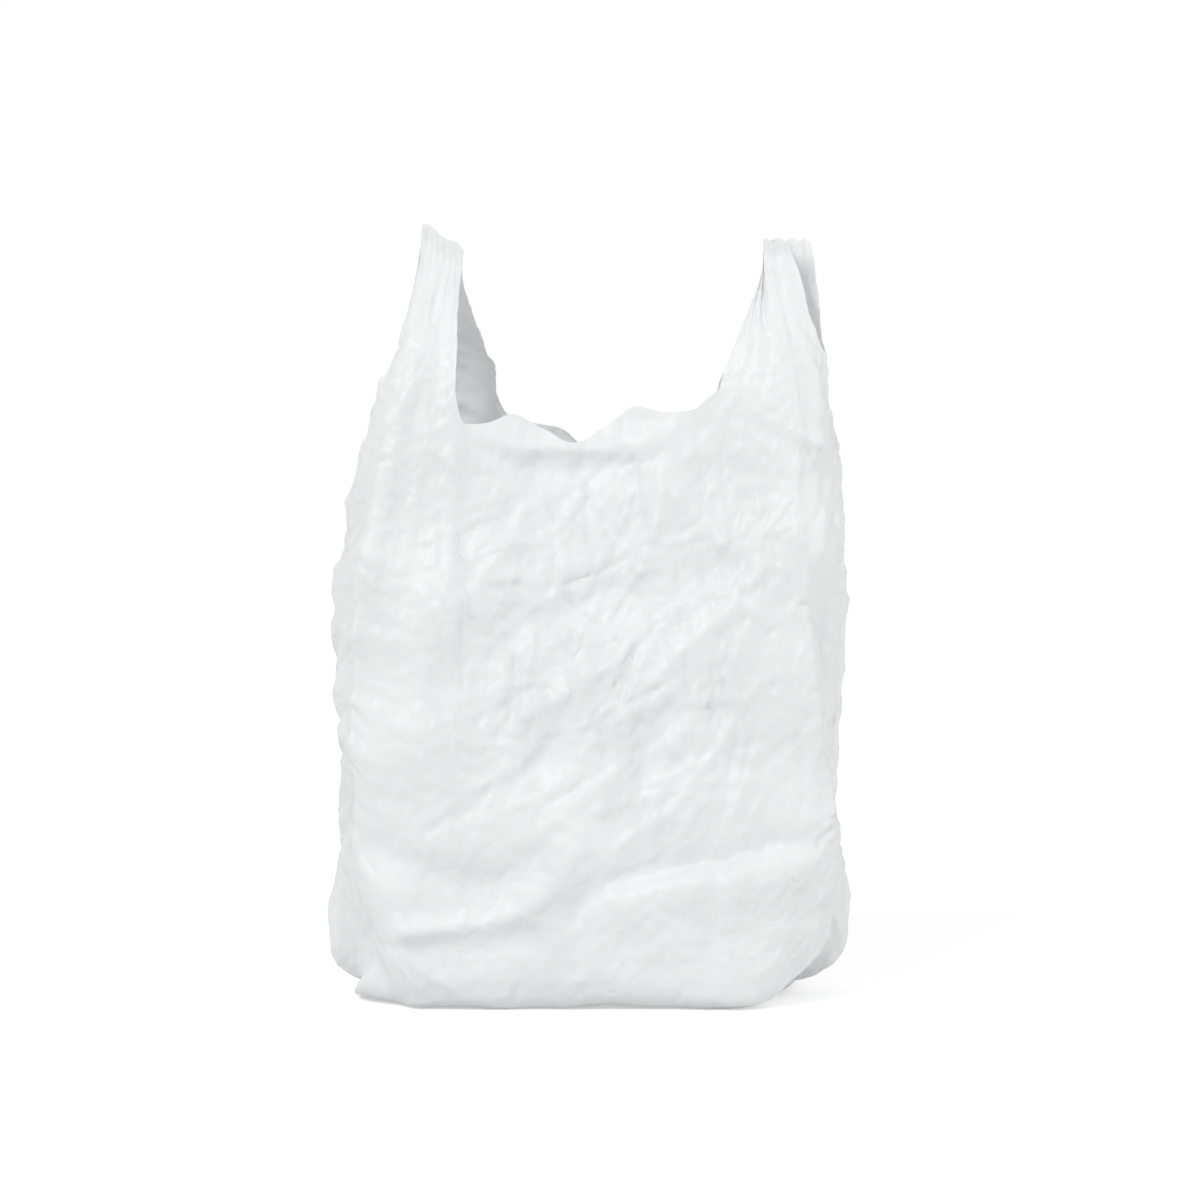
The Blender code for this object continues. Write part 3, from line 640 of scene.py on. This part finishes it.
def hold_weights(points, places):
    """How firmly each point keeps its place while the film relaxes: 1 doesn't move."""
    high = points[:, 2] / MM
    around = places[:, 0] / MM
    corners = np.array((0, FACE_WIDTH, FACE_WIDTH + PLEAT_WIDTH, ROUND - PLEAT_WIDTH, ROUND)) / MM
    from_corner = np.abs(around[:, None] - corners).min(1)
    everywhere = np.full(len(points), 0.50)
    at_corners = 0.62 * np.exp(-((from_corner / 6) ** 2))
    near_floor = np.clip(1.15 - high / 14, 0, 1)
    in_straps = np.where(places[:, 2] > 0, 0.5 + 0.7 * places[:, 2], 0)
    at_shoulders = 0.66 * np.exp(-(((high - 382) / 26) ** 2))
    weight = np.maximum.reduce((everywhere, at_corners, near_floor, in_straps, at_shoulders))
    weight[places[:, 1] < 3 * BASE_WELD_HEIGHT] = 1
    return np.clip(weight, 0, 1)


def relax(piece, weights):
    """Lets the film grow a little while it is held near its place, so that it buckles as thin film does."""
    group = piece.vertex_groups.new(name="hold")
    levels = np.round(weights * HOLD_LEVELS).astype(int)
    for level in np.unique(levels):
        group.add(np.nonzero(levels == level)[0].tolist(), float(level / HOLD_LEVELS), "REPLACE")
    cloth = piece.modifiers.new("relax", "CLOTH")
    film = cloth.settings
    film.quality = 5
    film.mass = 0.15
    film.air_damping = 2.0
    film.tension_stiffness = 60
    film.compression_stiffness = 60
    film.shear_stiffness = 20
    film.bending_stiffness = 0.02
    film.tension_damping = film.compression_damping = film.shear_damping = 5
    film.vertex_group_mass = "hold"
    film.pin_stiffness = 1.0
    film.shrink_min = -FILM_GROWTH
    film.effector_weights.gravity = 0
    cloth.collision_settings.use_collision = False
    cloth.collision_settings.use_self_collision = False
    cloth.point_cache.frame_start, cloth.point_cache.frame_end = 1, RELAX_FRAMES
    for frame_number in range(1, RELAX_FRAMES + 1):
        bpy.context.scene.frame_set(frame_number)
    moved = piece.evaluated_get(bpy.context.evaluated_depsgraph_get()).to_mesh()
    found = np.zeros(len(moved.vertices) * 3, np.float32)
    moved.vertices.foreach_get("co", found)
    piece.modifiers.clear()
    bpy.context.scene.frame_set(1)
    return found.reshape(-1, 3).astype(float)


def roughness_of_film(points):
    """How crumpled the film is at each place: most in the middle of a face, least near the floor."""
    high = points[:, 2] / MM
    across = points[:, 0] / MM
    low_down = 1 - np.clip((high - 70) / 70, 0, 1)
    middle = np.exp(-(((across - 25) / 70) ** 2) - (((high - 240) / 90) ** 2))
    return 0.75 + 0.55 * middle - 0.35 * low_down - 0.25 * np.clip((high - 370) / 60, 0, 1)


def seed_wrinkles(points, places):
    """Small uneven displacements from which the buckles grow."""
    made = np.empty(len(points))
    for k, place in enumerate(places):
        around = 2 * math.pi * place[0] / ROUND
        where = Vector((math.cos(around) * 5.5, math.sin(around) * 5.5, place[1] * 26))
        fine = noise.noise(where * 3.1 + Vector((7, 3, 1)))
        made[k] = noise.noise(where) + 0.8 * abs(fine) + 0.5 * noise.noise(where * 6.3)
    return (made - made.mean()) * SEED_HEIGHT * roughness_of_film(points)


def coordinates(mesh):
    """The mesh's points as an array."""
    flat = np.zeros(len(mesh.vertices) * 3, np.float32)
    mesh.vertices.foreach_get("co", flat)
    return flat.reshape(-1, 3).astype(float)


def normals(mesh):
    """The mesh's directions outwards, point by point."""
    flat = np.zeros(len(mesh.vertices) * 3, np.float32)
    mesh.vertices.foreach_get("normal", flat)
    return flat.reshape(-1, 3).astype(float)


def write_coordinates(mesh, points):
    """Moves the mesh's points."""
    mesh.vertices.foreach_set("co", points.astype(np.float32).ravel())
    mesh.update()


def keep_places(mesh, places):
    """Writes each point's place on the flat film to the mesh, so that it survives the smoothing."""
    angle = 2 * math.pi * places[:, 0] / ROUND
    kept = {"round_x": np.cos(angle), "round_y": np.sin(angle), "up": places[:, 1], "strap": places[:, 2]}
    for name, values in kept.items():
        layer = mesh.attributes.new(name, "FLOAT", "POINT")
        layer.data.foreach_set("value", values.astype(np.float32))


def read_places(mesh):
    """Reads the places on the flat film back from the smoothed mesh."""
    values = []
    for name in ("round_x", "round_y", "up", "strap"):
        flat = np.zeros(len(mesh.vertices), np.float32)
        mesh.attributes[name].data.foreach_get("value", flat)
        values.append(flat.astype(float))
        mesh.attributes.remove(mesh.attributes[name])
    around = np.mod(np.arctan2(values[1], values[0]) / (2 * math.pi), 1.0) * ROUND
    return np.stack((around, values[2], values[3]), 1)


def smooth_once(piece):
    """Divides the mesh once into smooth smaller faces."""
    smooth = piece.modifiers.new("smooth", "SUBSURF")
    smooth.levels = smooth.render_levels = 1
    smooth.boundary_smooth = "PRESERVE_CORNERS"
    mesh = bpy.data.meshes.new_from_object(piece.evaluated_get(bpy.context.evaluated_depsgraph_get()))
    piece.modifiers.clear()
    piece.data = mesh


def crumpled(x, z):
    """How crumpled the front is, at millimetres across and up: the handles stay drawn smooth."""
    middle = math.exp(-(((x - 25) / 62) ** 2) - ((z - 250) / 85) ** 2)
    left = 0.45 * math.exp(-(((x + 62) / 45) ** 2) - ((z - 215) / 110) ** 2)
    right = 0.35 * math.exp(-(((x - 75) / 45) ** 2) - ((z - 150) / 60) ** 2)
    return 0.16 + middle + left + right


def creases(places, count, seed, lengths, widths, slopes):
    """Many short sharp folds on the flat film, in millimetres. Each falls off gently to one side and steeply
    to the other, and they cut each other into facets."""
    chance = np.random.default_rng(seed)
    u, v = places[:, 0] / MM, places[:, 1] / MM
    out = np.zeros(len(u))
    order = np.argsort(v)
    sorted_v = v[order]
    for _ in range(count):
        centre_u, centre_v = chance.uniform(0, ROUND / MM), chance.uniform(*CREASE_HEIGHTS)
        length, wide = chance.uniform(*lengths), chance.uniform(*widths)
        steep = chance.uniform(*slopes) * chance.choice((-1, 1, 1))
        x, z = centre_u - HALF_FACE / MM, centre_v - FLOOR_REACH / MM
        on_face = centre_u < FACE_WIDTH / MM
        steep *= crumpled(x, z) if on_face else OTHER_SIDES
        if z > 330 or abs(x) > 75:
            angle = math.pi / 2 - 0.0015 * x + chance.normal(0, UPRIGHT_SPREAD)
        else:
            angle = CREASE_SLANT + chance.normal(0, SLANT_SPREAD)
        if chance.random() < ANY_WAY_SHARE:
            angle = chance.uniform(0, math.pi)
        low = np.searchsorted(sorted_v, centre_v - length)
        high = np.searchsorted(sorted_v, centre_v + length)
        near = order[low:high]
        du = u[near] - centre_u
        du = np.mod(du + ROUND / MM / 2, ROUND / MM) - ROUND / MM / 2
        dv = v[near] - centre_v
        run = (du * math.cos(angle) + dv * math.sin(angle)) / length
        off = (-du * math.sin(angle) + dv * math.cos(angle)) / wide + chance.normal(0, 0.4) * run * run
        off = np.where(off > 0, off * STEEP_SIDE, off)
        out[near] += steep * wide * np.clip(1 - np.abs(off), 0, 1) * np.clip(1 - np.abs(run), 0, 1) ** 0.8
    return out


def buckle(piece, points, places):
    """Starts the film uneven and relaxes it, so that it buckles. No point moves more than MOST_MOVE."""
    seeds = seed_wrinkles(points, places)
    weights = hold_weights(points, places)
    free = 1 - weights ** 4
    shift = Vector((4, 9, 2))
    billow = np.array([noise.noise(Vector(p) * BILLOWS_PER_METRE + shift) for p in points]) * BILLOW_HEIGHT
    calm = 1 - 0.55 * np.clip((points[:, 2] / MM - 350) / 60, 0, 1)
    start = points + normals(piece.data) * ((seeds + billow) * calm * free)[:, None]
    write_coordinates(piece.data, start)
    step = relax(piece, weights) - start
    far = np.linalg.norm(step, axis=1)
    start = start + step * np.minimum(1, MOST_MOVE / np.maximum(far, 1e-9))[:, None]
    start[:, 2] = np.maximum(start[:, 2], FLOOR_GAP)
    write_coordinates(piece.data, start)


def crumple(piece):
    """Adds the short folds to the smoothed film, less of them on the straps and none at the floor."""
    places = read_places(piece.data)
    fine = coordinates(piece.data)
    folds = creases(places, *LONG_CREASES)
    folds += creases(places, *SHORT_CREASES)
    grip = np.clip((fine[:, 2] / MM - 2) / 15, 0, 1) * np.clip(1.15 - 1.25 * places[:, 2], 0.05, 1)
    fine += normals(piece.data) * (folds * grip * MM)[:, None]
    fine[:, 2] = np.maximum(fine[:, 2], FLOOR_GAP)
    write_coordinates(piece.data, fine)


def make_bag_film():
    """The whole bag as one crumpled film."""
    points, places, quads = film_grid()
    centre_on_bag(points)
    press_folds(points, places)
    lift_front_edge(points, places)
    film = make_object("bag_film", points, quads)
    buckle(film, points, places)
    keep_places(film.data, places)
    smooth_once(film)
    crumple(film)
    film.data.shade_smooth()
    return film


def film_material():
    """Thin white film: a soft sheen, some light through it, and fine crackles too small for the mesh."""
    material = bpy.data.materials.new("white_film")
    material.use_nodes = True
    tree = material.node_tree
    nodes, links = tree.nodes, tree.links
    shader = nodes["Principled BSDF"]
    shader.inputs["Roughness"].default_value = FILM_ROUGHNESS
    shader.inputs["IOR"].default_value = 1.48
    place = nodes.new("ShaderNodeTexCoord").outputs["Object"]

    def cloud(scale, detail, kind="FBM"):
        """A noise texture laid on the object's own coordinates."""
        node = nodes.new("ShaderNodeTexNoise")
        node.noise_type = kind
        node.inputs["Scale"].default_value = scale
        node.inputs["Detail"].default_value = detail
        links.new(place, node.inputs["Vector"])
        return node

    patches = nodes.new("ShaderNodeMapRange")
    patches.inputs["From Min"].default_value = 0.42
    patches.inputs["From Max"].default_value = 0.62
    patches.inputs["To Min"].default_value = 0.3
    patches.inputs["To Max"].default_value = 0.9
    links.new(cloud(11, 2).outputs["Fac"], patches.inputs["Value"])
    under = None
    for scale, detail, distance in CRACKLES:
        bump = nodes.new("ShaderNodeBump")
        bump.inputs["Distance"].default_value = distance
        links.new(patches.outputs["Result"], bump.inputs["Strength"])
        links.new(cloud(scale, detail, "RIDGED_MULTIFRACTAL").outputs["Fac"], bump.inputs["Height"])
        if under:
            links.new(under.outputs["Normal"], bump.inputs["Normal"])
        under = bump
    links.new(bump.outputs["Normal"], shader.inputs["Normal"])

    shade = cloud(14, 4)
    tint = nodes.new("ShaderNodeValToRGB")
    tint.color_ramp.elements[0].position = 0.35
    tint.color_ramp.elements[0].color = DARKER_TINT
    tint.color_ramp.elements[1].position = 0.65
    tint.color_ramp.elements[1].color = PALER_TINT
    links.new(shade.outputs["Fac"], tint.inputs["Fac"])
    links.new(tint.outputs["Color"], shader.inputs["Base Color"])

    through = nodes.new("ShaderNodeBsdfTranslucent")
    through.inputs["Color"].default_value = (0.88, 0.885, 0.89, 1)
    links.new(bump.outputs["Normal"], through.inputs["Normal"])
    mix = nodes.new("ShaderNodeMixShader")
    mix.inputs[0].default_value = LIGHT_THROUGH
    links.new(shader.outputs[0], mix.inputs[1])
    links.new(through.outputs[0], mix.inputs[2])
    links.new(mix.outputs[0], nodes["Material Output"].inputs["Surface"])
    return material


def camera_ray_mix(tree, plain, shown):
    """A shader that camera, glossy and transmission rays see as shown, and all others as plain."""
    path = tree.nodes.new("ShaderNodeLightPath")
    either = tree.nodes.new("ShaderNodeMath")
    either.operation = "MAXIMUM"
    tree.links.new(path.outputs["Is Camera Ray"], either.inputs[0])
    tree.links.new(path.outputs["Is Glossy Ray"], either.inputs[1])
    any_ray = tree.nodes.new("ShaderNodeMath")
    any_ray.operation = "MAXIMUM"
    tree.links.new(either.outputs[0], any_ray.inputs[0])
    tree.links.new(path.outputs["Is Transmission Ray"], any_ray.inputs[1])
    mix = tree.nodes.new("ShaderNodeMixShader")
    tree.links.new(any_ray.outputs[0], mix.inputs[0])
    tree.links.new(plain.outputs[0], mix.inputs[1])
    tree.links.new(shown.outputs[0], mix.inputs[2])
    return mix


def make_world():
    """Plain light from all round, which the camera sees as white."""
    world = bpy.data.worlds.new("studio")
    world.use_nodes = True
    tree = world.node_tree
    plain = tree.nodes["Background"]
    plain.inputs["Color"].default_value = (1, 1, 1, 1)
    plain.inputs["Strength"].default_value = WORLD_STRENGTH
    shown = tree.nodes.new("ShaderNodeBackground")
    shown.inputs["Color"].default_value = (1, 1, 1, 1)
    shown.inputs["Strength"].default_value = 1.0
    mix = camera_ray_mix(tree, plain, shown)
    tree.links.new(mix.outputs[0], tree.nodes["World Output"].inputs["Surface"])
    bpy.context.scene.world = world


def make_floor():
    """A pale floor that keeps the bag's shadow and looks white to the camera."""
    reach = FLOOR_SIZE / 2
    corners = [(-reach, -reach, 0), (reach, -reach, 0), (reach, reach, 0), (-reach, reach, 0)]
    floor = make_object("floor", corners, [(0, 1, 2, 3)])
    material = bpy.data.materials.new("pale_floor")
    material.use_nodes = True
    tree = material.node_tree
    matte = tree.nodes["Principled BSDF"]
    matte.inputs["Base Color"].default_value = (0.85, 0.85, 0.85, 1)
    matte.inputs["Roughness"].default_value = 1.0
    matte.inputs["Specular IOR Level"].default_value = 0.0
    glow = tree.nodes.new("ShaderNodeEmission")
    glow.inputs["Color"].default_value = (1, 1, 1, 1)
    glow.inputs["Strength"].default_value = 0.42
    both = tree.nodes.new("ShaderNodeAddShader")
    tree.links.new(matte.outputs[0], both.inputs[0])
    tree.links.new(glow.outputs[0], both.inputs[1])
    mix = camera_ray_mix(tree, matte, both)
    tree.links.new(mix.outputs[0], tree.nodes["Material Output"].inputs["Surface"])
    floor.data.materials.append(material)


def make_sun(name, strength, spread, direction):
    """A sun lamp that shines along a direction, as wide as its spread in degrees."""
    light = bpy.data.lights.new(name, "SUN")
    light.energy = strength
    light.angle = math.radians(spread)
    made = bpy.data.objects.new(name, light)
    made.rotation_euler = Vector(direction).to_track_quat("-Z", "Y").to_euler()
    bpy.context.scene.collection.objects.link(made)


def make_camera():
    """The camera at the photo's viewing angle, a little above the mouth and looking slightly down."""
    camera = bpy.data.cameras.new("camera")
    camera.sensor_width = 36
    camera.lens = LENS
    camera.clip_end = 50
    made = bpy.data.objects.new("camera", camera)
    made.location = CAMERA_PLACE
    made.rotation_euler = (math.radians(90 - LOOK_DOWN), 0, 0)
    bpy.context.scene.collection.objects.link(made)
    bpy.context.scene.camera = made


bag_film = make_bag_film()
bag_film.data.materials.append(film_material())
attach(bag_film, "root")
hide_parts("bag")

make_world()
make_floor()
make_sun("key", KEY_STRENGTH, KEY_SPREAD, KEY_DIRECTION)
make_sun("fill", FILL_STRENGTH, FILL_SPREAD, FILL_DIRECTION)
make_camera()
bpy.context.scene.view_settings.view_transform = "Standard"
